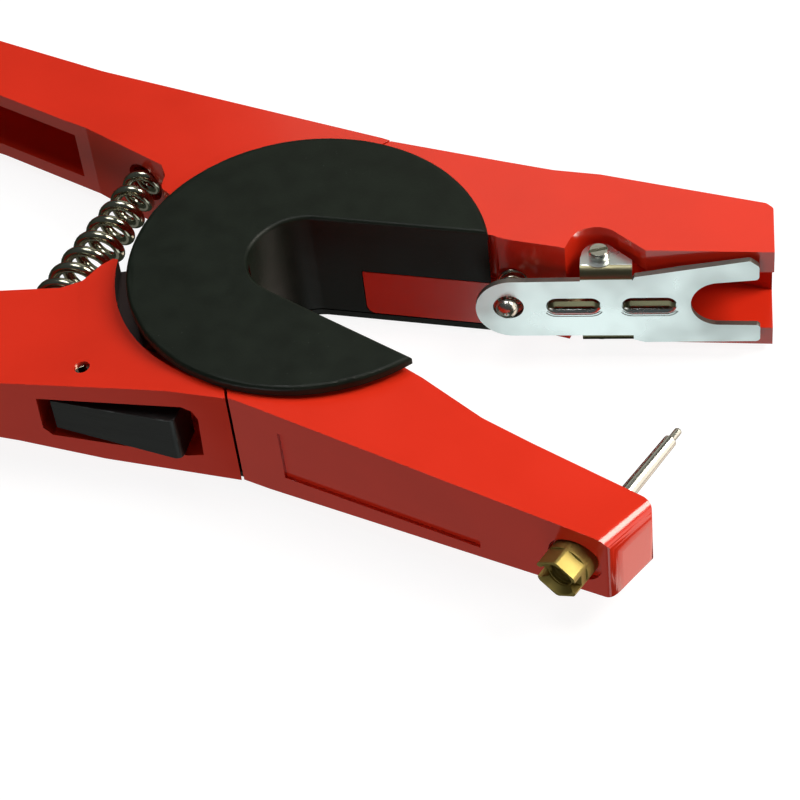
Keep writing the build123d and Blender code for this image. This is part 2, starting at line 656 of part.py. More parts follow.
def make_clip_plate():
    """The forked sheet clip with a bent ear above and below and two bridged slots."""
    low = 2 * CLIP_MID - 21.0
    with BuildPart() as clip_plate:
        with BuildSketch(clip_plane()):
            with Locations((1.1, CLIP_MID)):
                Circle(7.5)
            Polygon((1.1, 20.9), (EAR_LEFT, 21.0), (EAR_RIGHT, 21.0), (25.6, 22.0), (34.6, 23.8),
                    (48.2, 26.0), (50.0, 24.4), (50.0, 20.9), (FORK_U, FORK_Z + FORK_R),
                    (FORK_U - 3, FORK_Z), (FORK_U, FORK_Z - FORK_R), (50.4, 8.4),
                    (50.4, 3.9), (27.4, 3.8), (EAR_RIGHT, 4.6), (EAR_RIGHT, low), (1.1, 5.9),
                    align=None)
            with Locations((FORK_U, FORK_Z)):
                Circle(FORK_R, mode=Mode.SUBTRACT)
            with Locations((0.2, STUD_Z - 0.3)):
                Circle(STUD_HOLE_R, mode=Mode.SUBTRACT)
            with Locations((13.3, 14.2), (28.4, 14.2)):
                SlotOverall(11.0, 4.2, mode=Mode.SUBTRACT)
        extrude(amount=-CLIP_T)
        tips = clip_plate.edges().filter_by(Axis((0, 0, 0), clip_plane().z_dir))
        tips = tips.filter_by_position(Axis.X, CLIP_X + 43.5, CLIP_X + 50.5)
        fillet(tips, 0.9)
        for u in (13.3, 28.4):
            with BuildSketch(clip_plan(14.2 - 1.15)):
                Polygon((u - 6.2, 0.2), (u - 5.2, 0.2), (u - 3.8, 1.0), (u + 3.8, 1.0),
                        (u + 5.2, 0.2), (u + 6.2, 0.2), (u + 6.2, 1.1), (u + 5.4, 1.1),
                        (u + 4.1, 1.9), (u - 4.1, 1.9), (u - 5.4, 1.1), (u - 6.2, 1.1),
                        align=None)
            extrude(amount=2.3)
        for up in (1, -1):
            bend = CLIP_MID + up * (21.0 - CLIP_MID)
            with BuildSketch(clip_side(EAR_LEFT)):
                with Locations((2.5, bend)):
                    Circle(2.5)
                    Circle(2.5 - CLIP_T, mode=Mode.SUBTRACT)
                Polygon((-1, bend), (2.5, bend), (2.5, bend + up * 3), (-1, bend + up * 3),
                        align=None, mode=Mode.INTERSECT)
            extrude(amount=EAR_RIGHT - EAR_LEFT)
            flat = CLIP_MID + up * (EAR_TOP - CLIP_MID) - (CLIP_T if up > 0 else 0)
            with BuildSketch(clip_plan(flat)):
                with Locations((EAR_U, EAR_DEPTH)):
                    Circle(EAR_R)
                Polygon((EAR_LEFT, 2.4), (EAR_RIGHT, 2.4), (EAR_RIGHT, 3.4),
                        (EAR_U + 1.6, EAR_DEPTH + 3.1), (EAR_U - EAR_R, EAR_DEPTH),
                        (EAR_LEFT, 4.2), align=None)
            extrude(amount=CLIP_T)
        hub = clip_plane(EAR_U, 0, EAR_DEPTH).origin
        with Locations((hub.X, hub.Y)):
            Cylinder(CLIP_SCREW_R + CLIP_SCREW_PLAY, 80, mode=Mode.SUBTRACT)
    return labelled(clip_plate, "clip_plate")


def make_clip_screw():
    """The clip's pivot: a cheese head screw down through its ears and the hub."""
    hub = clip_plane(EAR_U, 0, EAR_DEPTH).origin
    low = 2 * CLIP_MID - EAR_TOP - 1.5
    with BuildPart() as clip_screw:
        with Locations((hub.X, hub.Y, low)):
            Cylinder(CLIP_SCREW_R, EAR_TOP - low, align=BASE)
        with Locations((hub.X, hub.Y, EAR_TOP + 0.1)):
            Cylinder(2.05, CLIP_HEAD, align=BASE)
        with Locations((hub.X, hub.Y, EAR_TOP)):
            Cylinder(CLIP_SCREW_R, 0.2, align=BASE)
        chamfer(clip_screw.edges().group_by(Axis.Z)[-1], 0.25)
        with Locations((hub.X, hub.Y, EAR_TOP + CLIP_HEAD - 0.6)):
            Box(5, 0.8, 2, align=BASE, rotation=(0, 0, 35), mode=Mode.SUBTRACT)
    return labelled(clip_screw, "clip_screw")


def make_clip_nut():
    """The small nut under the clip's lower ear."""
    hub = clip_plane(EAR_U, 0, EAR_DEPTH).origin
    low = 2 * CLIP_MID - EAR_TOP
    with BuildPart() as clip_nut:
        with BuildSketch(Plane.XY.offset(low - 1.3)):
            with Locations((hub.X, hub.Y)):
                RegularPolygon(2.3, 6)
                Circle(CLIP_SCREW_R, mode=Mode.SUBTRACT)
        extrude(amount=1.2)
    return labelled(clip_nut, "clip_nut")


def make_guide_stud():
    """The round headed stud that the clip's tail and its spring slide on."""
    a = radians(CLIP_ANGLE)
    head = Plane((CLIP_X, CLIP_Y, STUD_Z), x_dir=(cos(a), sin(a), 0), z_dir=(0, 0, 1))
    with BuildPart() as guide_stud:
        with BuildSketch(head):
            with Locations((0, -0.2)):
                Circle(STUD_HEAD_R)
            Polygon((-5, -0.2), (5, -0.2), (5, 6), (-5, 6), align=None, mode=Mode.SUBTRACT)
            Polygon((0, -5), (-5, -5), (-5, 5), (0, 5), align=None, mode=Mode.SUBTRACT)
            Polygon((0, -0.3), (STUD_R, -0.3), (STUD_R, 14.0), (0, 14.0), align=None)
        revolve(axis=Axis((CLIP_X, CLIP_Y, STUD_Z), (-sin(a), cos(a), 0)))
    return labelled(guide_stud, "guide_stud")


def make_clip_spring():
    """The short coil behind the clip's tail."""
    w = CLIP_WIRE
    height = CLIP_SEAT - CLIP_T - w - 0.2
    at = clip_plane(CLIP_SPRING_U, STUD_Z, CLIP_SEAT - w / 2 - 0.1)
    spring = coil(at, CLIP_SPRING_R, height / 3.25, height, w)
    return labelled(spring, "clip_spring")


def latch_plan(z):
    """The latch in plan: x along the handle, y out to its face."""
    a = radians(LATCH_ANGLE)
    return Plane((LATCH_X, LATCH_Y, z), x_dir=(cos(a), sin(a), 0), z_dir=(0, 0, 1))


def make_latch_lever():
    """The black thumb lever in the near handle's slot."""
    with BuildPart() as latch_lever:
        with BuildSketch(latch_plan(8.0)):
            Polygon((-6.3, 2.6), (-6.3, -4.7), (19.4, -7.4), (20.4, -7.0), (20.8, -6.0),
                    (20.8, 0.4), (20.2, 0.9), (4.0, 2.8), align=None)
        extrude(amount=14)
        with BuildSketch(outer_plane(LATCH_X, LATCH_Y, LATCH_ANGLE)):
            Polygon((-7, 10.1), (21, 8.3), (21, 19.3), (-7, 17.7), align=None)
        extrude(amount=20, both=True, mode=Mode.INTERSECT)
        with Locations((LATCH_X, LATCH_Y)):
            Cylinder(LATCH_PIN_R + LATCH_PLAY, 80, mode=Mode.SUBTRACT)
    return labelled(latch_lever, "latch_lever")


def make_latch_pin():
    """The slotted spring pin that the latch turns on."""
    with BuildPart() as latch_pin:
        with BuildSketch(Plane.XY.offset(5.2)):
            with Locations((LATCH_X, LATCH_Y)):
                Circle(LATCH_PIN_R)
                Circle(LATCH_PIN_R - 0.7, mode=Mode.SUBTRACT)
                Rectangle(0.5, 6, align=(Align.CENTER, Align.MIN), mode=Mode.SUBTRACT)
        extrude(amount=17.6)
    return labelled(latch_pin, "latch_pin")


def make_latch_spring():
    """The small coil that pushes the latch out."""
    w = LATCH_WIRE
    a = radians(LATCH_ANGLE)
    floor = LATCH_DEPTH + LATCH_WELL - w / 2 - 0.1
    x = LATCH_X + LATCH_SPRING_U * cos(a) - floor * sin(a)
    y = LATCH_Y + LATCH_SPRING_U * sin(a) + floor * cos(a)
    at = Plane((x, y, MID_Z), x_dir=(cos(a), sin(a), 0), z_dir=(sin(a), -cos(a), 0))
    height = floor - 1.85 - w / 2 - 0.1
    spring = coil(at, LATCH_SPRING_R, height / 4.25, height, w)
    return labelled(spring, "latch_spring")


PARTS = [make_pin_lever, make_clip_lever, make_cover_top, make_cover_bottom,
         make_cover_screws, make_pivot_bolt, make_pivot_nut, make_pivot_washer,
         make_thrust_washer, make_return_spring, make_applicator_pin, make_pin_nut,
         make_clip_plate, make_clip_screw, make_clip_nut, make_guide_stud,
         make_clip_spring, make_latch_lever, make_latch_pin, make_latch_spring]

for make in PARTS:
    solid = make()
    export_step(solid, "parts/" + solid.label + ".step")
    print(solid.label, round(solid.volume), solid.bounding_box())
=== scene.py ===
"""The ear tag applicator's looks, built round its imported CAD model.

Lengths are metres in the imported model's frame: the origin is on the main pivot in the
plane that the tool lies on, +X runs to the jaws and +Z is up. Sizes that a maker would
quote are written in millimetres and turned into metres by mm().
"""

import logging
import math
from dataclasses import dataclass
from enum import Enum

import bmesh
import bpy
from mathutils import Matrix, Vector


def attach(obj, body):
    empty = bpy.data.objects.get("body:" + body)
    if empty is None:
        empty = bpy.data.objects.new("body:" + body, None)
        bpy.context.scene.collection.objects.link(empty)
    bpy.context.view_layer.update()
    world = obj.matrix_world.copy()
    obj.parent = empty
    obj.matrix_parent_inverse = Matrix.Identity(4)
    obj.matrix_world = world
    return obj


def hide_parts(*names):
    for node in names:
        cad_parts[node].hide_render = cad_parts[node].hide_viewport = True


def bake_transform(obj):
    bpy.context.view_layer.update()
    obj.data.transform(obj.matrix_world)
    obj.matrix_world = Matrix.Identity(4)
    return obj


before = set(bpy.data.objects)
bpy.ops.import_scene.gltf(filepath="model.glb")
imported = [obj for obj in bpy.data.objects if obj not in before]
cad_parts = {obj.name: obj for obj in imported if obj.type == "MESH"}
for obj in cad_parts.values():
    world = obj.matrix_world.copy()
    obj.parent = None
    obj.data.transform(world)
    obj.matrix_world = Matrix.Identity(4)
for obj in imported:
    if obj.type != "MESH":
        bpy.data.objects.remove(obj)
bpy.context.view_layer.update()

EDGE_MARK = "edge_mark"
Sockets = bpy.types.bpy_prop_collection
LOG = logging.getLogger("tag_applicator")


class Body(str, Enum):
    """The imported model's moving bodies."""

    CLIP_SIDE = "clip_side"
    PIN_SIDE = "pin_side"
    CLIP = "clip"
    LATCH = "latch"


class Slot(str, Enum):
    """The record's material slots."""

    RED_PAINT = "red_paint"
    BLACK_MOULDING = "black_moulding"
    LATCH_PLASTIC = "latch_plastic"
    ZINC_STEEL = "zinc_steel"
    SPRING_STEEL = "spring_steel"
    POLISHED_STEEL = "polished_steel"
    BRIGHT_SHEET = "bright_sheet"
    BRASS = "brass"


def mm(value: float) -> float:
    """Millimetres as metres."""
    return value * 0.001


def point(x: float, y: float, z: float) -> Vector:
    """A place in the frame, given in millimetres."""
    return Vector((mm(x), mm(y), mm(z)))


def in_mm(place: Vector) -> Vector:
    """A place in the frame, read off in millimetres."""
    return place * 1000.0


def in_metres(place: Vector) -> Vector:
    """A place in millimetres, put back into the frame."""
    return place / 1000.0


def heading(angle: float) -> tuple[Vector, Vector]:
    """The two level directions of a piece that is turned in plan.

    Args:
        angle: Its turn from +X, in degrees.

    Returns:
        The direction along it and the one a quarter turn to the left.
    """
    turn = math.radians(angle)
    return (Vector((math.cos(turn), math.sin(turn), 0)),
            Vector((-math.sin(turn), math.cos(turn), 0)))


# Shader nodes


class NodeSheet:
    """Adds and joins the nodes of one material or node group."""

    def __init__(self, tree: bpy.types.NodeTree) -> None:
        """Keep the tree that the nodes go into.

        Args:
            tree: A material's node tree or a node group.
        """
        self.tree = tree

    def add(self, kind: str, links: dict[str | int, object] | None = None,
            **settings: object) -> bpy.types.Node:
        """Add a node.

        Args:
            kind: The node's type, without its ShaderNode prefix.
            links: Values or output sockets for its inputs, by input name or number.
            **settings: The node's own attributes.

        Returns:
            The new node.
        """
        node = self.tree.nodes.new("ShaderNode" + kind)
        for name, value in settings.items():
            setattr(node, name, value)
        for name, value in (links or {}).items():
            self.feed(node.inputs[name], value)
        return node

    def feed(self, socket: bpy.types.NodeSocket, value: object) -> None:
        """Link a socket to an output, or set its value.

        Args:
            socket: The input socket.
            value: An output socket, a number or a colour.
        """
        if isinstance(value, bpy.types.NodeSocket):
            self.tree.links.new(value, socket)
        else:
            socket.default_value = value

    def noise(self, vector: object, scale: float, detail: float = 2.0,
              roughness: float = 0.5) -> bpy.types.NodeSocket:
        """Add a noise texture.

        Args:
            vector: The coordinates' output socket.
            scale: Noise cells in a metre.
            detail: Octaves of finer noise.
            roughness: Strength of the finer octaves.

        Returns:
            The noise value.
        """
        node = self.add("TexNoise", {"Vector": vector, "Scale": scale, "Detail": detail,
                                     "Roughness": roughness})
        return node.outputs["Fac"]

    def spread(self, value: object, low: float, high: float, to_low: float = 0.0,
               to_high: float = 1.0) -> bpy.types.NodeSocket:
        """Map a range onto another, clamped.

        Args:
            value: The socket to map.
            low: The value that becomes to_low.
            high: The value that becomes to_high.
            to_low: The result at low.
            to_high: The result at high.

        Returns:
            The mapped value.
        """
        node = self.add("MapRange", {"Value": value, "From Min": low, "From Max": high,
                                     "To Min": to_low, "To Max": to_high})
        return node.outputs["Result"]

    def combine(self, kind: str, a: object, b: object) -> bpy.types.NodeSocket:
        """Join two values by a math operation.

        Args:
            kind: The operation, such as ADD or MULTIPLY.
            a: The first value or socket.
            b: The second value or socket.

        Returns:
            The result.
        """
        return self.add("Math", {0: a, 1: b}, operation=kind).outputs[0]

    def mix(self, share: object, a: object, b: object) -> bpy.types.NodeSocket:
        """Mix two colours.

        Some of the node's sockets share a name, so they go by their numbers.

        Args:
            share: How much of b shows.
            a: The first colour or socket.
            b: The second colour or socket.

        Returns:
            The mixed colour.
        """
        node = self.add("Mix", {0: share, 6: a, 7: b}, data_type="RGBA")
        return node.outputs[2]


def effect(name: str, inputs: dict[str, float],
           outputs: list[str]) -> tuple[bpy.types.NodeTree, NodeSheet, Sockets, Sockets]:
    """Start a shared effect's node group, with a Vector input of its own.

    Args:
        name: The group's name.
        inputs: Its number inputs and their usual values.
        outputs: Its number outputs.

    Returns:
        The group, its node sheet, the sockets that its inputs give, and the sockets that
        its outputs take.
    """
    group = bpy.data.node_groups.new(name, "ShaderNodeTree")
    group.interface.new_socket("Vector", in_out="INPUT", socket_type="NodeSocketVector")
    for label, value in inputs.items():
        socket = group.interface.new_socket(label, in_out="INPUT",
                                            socket_type="NodeSocketFloat")
        socket.default_value = value
    for label in outputs:
        group.interface.new_socket(label, in_out="OUTPUT", socket_type="NodeSocketFloat")
    start = group.nodes.new("NodeGroupInput")
    end = group.nodes.new("NodeGroupOutput")
    return group, NodeSheet(group), start.outputs, end.inputs


class Effects:
    """The node groups that the finishes share."""

    def __init__(self) -> None:
        """Build each group once."""
        self.grain = self.build_grain()
        self.dust = self.build_dust()
        self.hairlines = self.build_hairlines()
        self.edge_wear = self.build_edge_wear()

    def build_grain(self) -> bpy.types.NodeTree:
        """A surface's fine unevenness: a slow swell with a fine grain on it.

        Returns:
            The group, with outputs Height and Tone.
        """
        group, sheet, start, end = effect(
            "surface_grain", {"Scale": 900.0, "Swell": 0.4}, ["Height", "Tone"])
        fine = sheet.add("TexNoise", {"Vector": start["Vector"], "Scale": start["Scale"],
                                      "Detail": 3.0, "Roughness": 0.6}).outputs["Fac"]
        slow_scale = sheet.combine("MULTIPLY", start["Scale"], 0.12)
        slow = sheet.add("TexNoise", {"Vector": start["Vector"], "Scale": slow_scale,
                                      "Detail": 2.0}).outputs["Fac"]
        swell = sheet.combine("MULTIPLY", slow, start["Swell"])
        sheet.feed(end["Height"], sheet.combine("ADD", fine, swell))
        sheet.feed(end["Tone"], slow)
        return group

    def build_dust(self) -> bpy.types.NodeTree:
        """Small pale specks, thick in some places and missing in others.

        Returns:
            The group, with the output Specks.
        """
        group, sheet, start, end = effect(
            "dust_specks", {"Scale": 700.0, "Amount": 0.5}, ["Specks"])
        cells = sheet.add("TexVoronoi", {"Vector": start["Vector"], "Scale": start["Scale"],
                                         "Randomness": 1.0})
        size = sheet.combine("MULTIPLY", start["Amount"], 0.26)
        near = sheet.add("MapRange", {"Value": cells.outputs["Distance"], "From Min": size,
                                      "From Max": 0.0, "To Min": 0.0, "To Max": 1.0})
        drift = sheet.noise(start["Vector"], 45.0, 2.0)
        patches = sheet.spread(drift, 0.5, 0.68)
        sheet.feed(end["Specks"], sheet.combine("MULTIPLY", near.outputs["Result"], patches))
        return group

    def build_hairlines(self) -> bpy.types.NodeTree:
        """Fine rubbed lines along one direction of the coordinates.

        Returns:
            The group, with outputs Lines and Smear.
        """
        group, sheet, start, end = effect(
            "hairlines", {"Scale": 500.0, "Stretch": 0.03}, ["Lines", "Smear"])
        along = sheet.add("CombineXYZ", {0: start["Stretch"], 1: 1.0, 2: 1.0}).outputs[0]
        drawn = sheet.add("VectorMath", {0: start["Vector"], 1: along},
                          operation="MULTIPLY").outputs[0]
        lines = sheet.add("TexNoise", {"Vector": drawn, "Scale": start["Scale"],
                                       "Detail": 4.0, "Roughness": 0.7}).outputs["Fac"]
        sheet.feed(end["Lines"], sheet.spread(lines, 0.35, 0.65))
        sheet.feed(end["Smear"], sheet.noise(start["Vector"], 60.0, 3.0))
        return group

    def build_edge_wear(self) -> bpy.types.NodeTree:
        """Where an edge is rubbed: the bevelled strips, broken up by noise.

        Returns:
            The group, with the output Worn.
        """
        group, sheet, start, end = effect("edge_wear", {"Amount": 0.5}, ["Worn"])
        edge = sheet.add("Attribute", attribute_name=EDGE_MARK).outputs["Fac"]
        patchy = sheet.spread(sheet.noise(start["Vector"], 260.0, 5.0, 0.65), 0.5, 0.72)
        worn = sheet.combine("MULTIPLY", edge, patchy)
        sheet.feed(end["Worn"], sheet.combine("MULTIPLY", worn, start["Amount"]))
        return group


@dataclass(frozen=True)
class Finish:
    """A surface finish, built as a material of its own."""

    slot: Slot
    base: tuple[float, float, float]
    roughness: float

    def build(self, effects: Effects) -> bpy.types.Material:
        """Make the material.

        Args:
            effects: The shared node groups.

        Returns:
            The finished material.
        """
        material = bpy.data.materials.new(type(self).__name__)
        material.use_nodes = True
        sheet = NodeSheet(material.node_tree)
        shader = material.node_tree.nodes["Principled BSDF"]
        vector = sheet.add("TexCoord").outputs["Object"]
        self.dress(sheet, shader, vector, effects)
        return material

    def dress(self, sheet: NodeSheet, shader: bpy.types.Node, vector: object,
              effects: Effects) -> None:
        """Feed the shader. Each finish has its own version.

        Args:
            sheet: The material's nodes.
            shader: Its Principled BSDF.
            vector: The surface's coordinates.
            effects: The shared node groups.
        """
        raise NotImplementedError

    def use(self, sheet: NodeSheet, group: bpy.types.NodeTree, vector: object,
            **values: float) -> Sockets:
        """Place a shared effect with this finish's values.

        Args:
            sheet: The material's nodes.
            group: The effect's node group.
            vector: The surface's coordinates.
            **values: The effect's inputs, in lower case.

        Returns:
            The effect's output sockets.
        """
        node = sheet.add("Group", {"Vector": vector}, node_tree=group)
        for name, value in values.items():
            sheet.feed(node.inputs[name.capitalize()], value)
        return node.outputs

    def relief(self, sheet: NodeSheet, shader: bpy.types.Node, height: object,
               depth: float) -> None:
        """Feed the shader's normal from a height.

        Args:
            sheet: The material's nodes.
            shader: Its Principled BSDF.
            height: The height's output socket.
            depth: How far the relief reaches, in millimetres.
        """
        bump = sheet.add("Bump", {"Height": height, "Distance": mm(depth), "Strength": 1.0})
        sheet.feed(shader.inputs["Normal"], bump.outputs[0])

    def colour(self, lift: float = 1.0) -> tuple[float, float, float, float]:
        """The base colour made lighter or darker."""
        r, g, b = self.base
        return (min(1.0, r * lift), min(1.0, g * lift), min(1.0, b * lift), 1.0)


@dataclass(frozen=True)
class RedEnamel(Finish):
    """Glossy stove enamel on the castings, with orange peel and edges lightened partly as rubbed
    wear and partly as a painted highlight along the bevels.
    """

    slot: Slot = Slot.RED_PAINT
    base: tuple[float, float, float] = (0.77, 0.03, 0.01)
    roughness: float = 0.16
    # Lighter edge colour: partly rubbed wear, partly a painted highlight along the bevels.
    edge: tuple[float, float, float, float] = (0.86, 0.1, 0.04, 1.0)
    dust: tuple[float, float, float, float] = (0.9, 0.35, 0.25, 1.0)
    dust_share: float = 0.15
    peel_scale: float = 420.0
    peel_depth: float = 0.008
    coat: float = 0.35
    coat_roughness: float = 0.08

    def dress(self, sheet: NodeSheet, shader: bpy.types.Node, vector: object,
              effects: Effects) -> None:
        """Orange peel in the gloss, a slow change of tone, dust, and edges lightened partly as
        wear and partly as a painted highlight.

        Args:
            sheet: The material's nodes.
            shader: Its Principled BSDF.
            vector: The surface's coordinates.
            effects: The shared node groups.
        """
        peel = self.use(sheet, effects.grain, vector, scale=self.peel_scale, swell=1.2)
        dust = self.use(sheet, effects.dust, vector, scale=620.0, amount=0.25)
        wear = self.use(sheet, effects.edge_wear, vector, amount=0.3)
        tone = sheet.mix(sheet.spread(peel["Tone"], 0.35, 0.65), self.colour(0.97),
                         self.colour(1.03))
        # Edges lightened partly as wear and partly as a painted highlight.
        rubbed = sheet.mix(wear["Worn"], tone, self.edge)
        specks = sheet.combine("MULTIPLY", dust["Specks"], self.dust_share)
        sheet.feed(shader.inputs["Base Color"], sheet.mix(specks, rubbed, self.dust))
        rough = sheet.spread(peel["Tone"], 0.3, 0.7, self.roughness - 0.02,
                             self.roughness + 0.04)
        scuffed = sheet.combine("MULTIPLY", wear["Worn"], 0.4)
        sheet.feed(shader.inputs["Roughness"], sheet.combine("ADD", rough, scuffed))
        shader.inputs["Coat Weight"].default_value = self.coat
        shader.inputs["Coat Roughness"].default_value = self.coat_roughness
        self.relief(sheet, shader, peel["Height"], self.peel_depth)


@dataclass(frozen=True)
class ShadedGrooveEnamel(RedEnamel):
    """The enamel in the groove round the cover, made near black as painted shade."""

    # Painted shade: this near black colour stands in for the shadow down in the groove.
    base: tuple[float, float, float] = (0.022, 0.0016, 0.0012)
    roughness: float = 0.4
    edge: tuple[float, float, float, float] = (0.05, 0.004, 0.003, 1.0)


@dataclass(frozen=True)
class MouldedBlack(Finish):
    """The cover's satin black moulding, with a fine spark eroded grain and dust."""

    slot: Slot = Slot.BLACK_MOULDING
    base: tuple[float, float, float] = (0.0056, 0.0092, 0.0056)
    roughness: float = 0.44
    dust: tuple[float, float, float, float] = (0.16, 0.18, 0.17, 1.0)
    dust_share: float = 0.4
    grain_scale: float = 1500.0
    grain_depth: float = 0.02
    shine: float = 0.22

    def dress(self, sheet: NodeSheet, shader: bpy.types.Node, vector: object,
              effects: Effects) -> None:
        """Fine grain, pale dust specks and edges polished by handling.

        Args:
            sheet: The material's nodes.
            shader: Its Principled BSDF.
            vector: The surface's coordinates.
            effects: The shared node groups.
        """
        grain = self.use(sheet, effects.grain, vector, scale=self.grain_scale, swell=0.8)
        dust = self.use(sheet, effects.dust, vector, scale=760.0, amount=0.4)
        wear = self.use(sheet, effects.edge_wear, vector, amount=0.5)
        tone = sheet.mix(sheet.spread(grain["Tone"], 0.35, 0.65), self.colour(0.85),
                         self.colour(1.2))
        polished = sheet.mix(wear["Worn"], tone, self.colour(2.0))
        specks = sheet.combine("MULTIPLY", dust["Specks"], self.dust_share)
        sheet.feed(shader.inputs["Base Color"], sheet.mix(specks, polished, self.dust))
        rough = sheet.spread(grain["Tone"], 0.3, 0.7, self.roughness - 0.06,
                             self.roughness + 0.06)
        rubbed = sheet.combine("MULTIPLY", wear["Worn"], -0.15)
        sheet.feed(shader.inputs["Roughness"], sheet.combine("ADD", rough, rubbed))
        shader.inputs["Specular IOR Level"].default_value = self.shine
        self.relief(sheet, shader, grain["Height"], self.grain_depth)


@dataclass(frozen=True)
class LatchBlack(Finish):
    """The thumb latch's matt black moulding, with flow lines along it."""

    slot: Slot = Slot.LATCH_PLASTIC
    base: tuple[float, float, float] = (0.0065, 0.0075, 0.0075)
    roughness: float = 0.42
    edge: tuple[float, float, float, float] = (0.09, 0.1, 0.1, 1.0)
    flow_scale: float = 420.0
    grain_scale: float = 1100.0
    grain_depth: float = 0.02

    def dress(self, sheet: NodeSheet, shader: bpy.types.Node, vector: object,
              effects: Effects) -> None:
        """Flow lines along the lever and edges worn grey.

        Args:
            sheet: The material's nodes.
            shader: Its Principled BSDF.
            vector: The surface's coordinates.
            effects: The shared node groups.
        """
        flow = self.use(sheet, effects.hairlines, vector, scale=self.flow_scale,
                        stretch=0.08)
        grain = self.use(sheet, effects.grain, vector, scale=self.grain_scale, swell=0.6)
        wear = self.use(sheet, effects.edge_wear, vector, amount=0.9)
        tone = sheet.mix(flow["Lines"], self.colour(0.8), self.colour(1.35))
        sheet.feed(shader.inputs["Base Color"], sheet.mix(wear["Worn"], tone, self.edge))
        sheet.feed(shader.inputs["Roughness"],
                   sheet.spread(flow["Smear"], 0.3, 0.7, self.roughness - 0.08,
                                self.roughness + 0.1))
        height = sheet.combine("ADD", flow["Lines"], grain["Height"])
        self.relief(sheet, shader, height, self.grain_depth)


@dataclass(frozen=True)
class BareMetal(Finish):
    """A bare or plated metal with fine rubbed lines and dulled patches."""

    slot: Slot = Slot.ZINC_STEEL
    base: tuple[float, float, float] = (0.5, 0.5, 0.47)
    roughness: float = 0.28
    line_scale: float = 900.0
    line_stretch: float = 0.1
    line_depth: float = 0.004
    tarnish: tuple[float, float, float, float] = (0.24, 0.23, 0.2, 1.0)
    tarnish_share: float = 0.35

    def dress(self, sheet: NodeSheet, shader: bpy.types.Node, vector: object,
              effects: Effects) -> None:
        """Rubbed lines in the relief, patches of tarnish and brighter edges.

        Args:
            sheet: The material's nodes.
            shader: Its Principled BSDF.
            vector: The surface's coordinates.
            effects: The shared node groups.
        """
        lines = self.use(sheet, effects.hairlines, vector, scale=self.line_scale,
                         stretch=self.line_stretch)
        wear = self.use(sheet, effects.edge_wear, vector, amount=0.7)
        patches = sheet.spread(lines["Smear"], 0.48, 0.75, 0.0, self.tarnish_share)
        dulled = sheet.mix(patches, self.colour(1.0), self.tarnish)
        sheet.feed(shader.inputs["Base Color"],
                   sheet.mix(wear["Worn"], dulled, self.colour(1.25)))
        shader.inputs["Metallic"].default_value = 1.0
        sheet.feed(shader.inputs["Roughness"],
                   sheet.spread(lines["Smear"], 0.3, 0.75, self.roughness * 0.75,
                                self.roughness * 1.5))
        self.relief(sheet, shader, lines["Lines"], self.line_depth)


@dataclass(frozen=True)
class ZincPlate(BareMetal):
    """Dull zinc plating on the hidden pivot and the cover's screws."""


@dataclass(frozen=True)
class SpringWire(BareMetal):
    """Polished spring wire."""

    slot: Slot = Slot.SPRING_STEEL
    base: tuple[float, float, float] = (0.5, 0.485, 0.38)
    roughness: float = 0.16
    line_depth: float = 0.0015
    tarnish: tuple[float, float, float, float] = (0.2, 0.19, 0.15, 1.0)


@dataclass(frozen=True)
class TurnedSteel(BareMetal):
    """Turned and polished stainless steel."""

    slot: Slot = Slot.POLISHED_STEEL
    base: tuple[float, float, float] = (0.62, 0.61, 0.55)
    roughness: float = 0.2
    line_scale: float = 1600.0
    line_depth: float = 0.003
    tarnish: tuple[float, float, float, float] = (0.34, 0.33, 0.27, 1.0)


@dataclass(frozen=True)
class NickelSheet(BareMetal):
    """The clip's nickel plated sheet, rolled lines along it."""

    slot: Slot = Slot.BRIGHT_SHEET
    base: tuple[float, float, float] = (0.8, 0.87, 0.87)
    roughness: float = 0.3
    line_scale: float = 700.0
    line_stretch: float = 0.25
    line_depth: float = 0.003
    tarnish: tuple[float, float, float, float] = (0.6, 0.64, 0.66, 1.0)
    tarnish_share: float = 0.15


@dataclass(frozen=True)
class PaintedShadeSheet(BareMetal):
    """The clip's two set back strips and the ears' bends: the same sheet, made dark olive as
    painted shade and a painted reflection of dark surroundings.
    """

    slot: Slot = Slot.BRIGHT_SHEET
    # Painted shade and reflection: a dark olive base stands in for the strips' shade and the
    # dark surroundings that the bends reflect.
    base: tuple[float, float, float] = (0.2, 0.185, 0.11)
    roughness: float = 0.3
    line_stretch: float = 0.25


@dataclass(frozen=True)
class ShearedEdge(BareMetal):
    """The clip's punched edge, darker and torn across the sheet."""

    slot: Slot = Slot.BRIGHT_SHEET
    base: tuple[float, float, float] = (0.2, 0.18, 0.16)
    roughness: float = 0.42
    line_stretch: float = 1.0


@dataclass(frozen=True)
class TurnedBrass(BareMetal):
    """The nut's turned brass."""

    slot: Slot = Slot.BRASS
    base: tuple[float, float, float] = (0.37, 0.29, 0.088)
    roughness: float = 0.46
    line_scale: float = 1300.0
    line_depth: float = 0.006
    tarnish: tuple[float, float, float, float] = (0.36, 0.22, 0.06, 1.0)


@dataclass(frozen=True)
class Finishes:
    """Every finish of the tool, as materials."""

    red: bpy.types.Material
    # Painted shade for the groove round the cover.
    groove_shade: bpy.types.Material
    moulding: bpy.types.Material
    latch: bpy.types.Material
    zinc: bpy.types.Material
    wire: bpy.types.Material
    steel: bpy.types.Material
    sheet: bpy.types.Material
    # Painted shade and reflection for the clip's set back strips and the ears' bends.
    strip: bpy.types.Material
    sheared: bpy.types.Material
    brass: bpy.types.Material


def build_finishes() -> Finishes:
    """Make every finish once.

    Returns:
        The materials.
    """
    effects = Effects()
    return Finishes(
        red=RedEnamel().build(effects),
        groove_shade=ShadedGrooveEnamel().build(effects),
        moulding=MouldedBlack().build(effects),
        latch=LatchBlack().build(effects),
        zinc=ZincPlate().build(effects),
        wire=SpringWire().build(effects),
        steel=TurnedSteel().build(effects),
        sheet=NickelSheet().build(effects),
        strip=PaintedShadeSheet().build(effects),
        sheared=ShearedEdge().build(effects),
        brass=TurnedBrass().build(effects),
    )


# Meshes


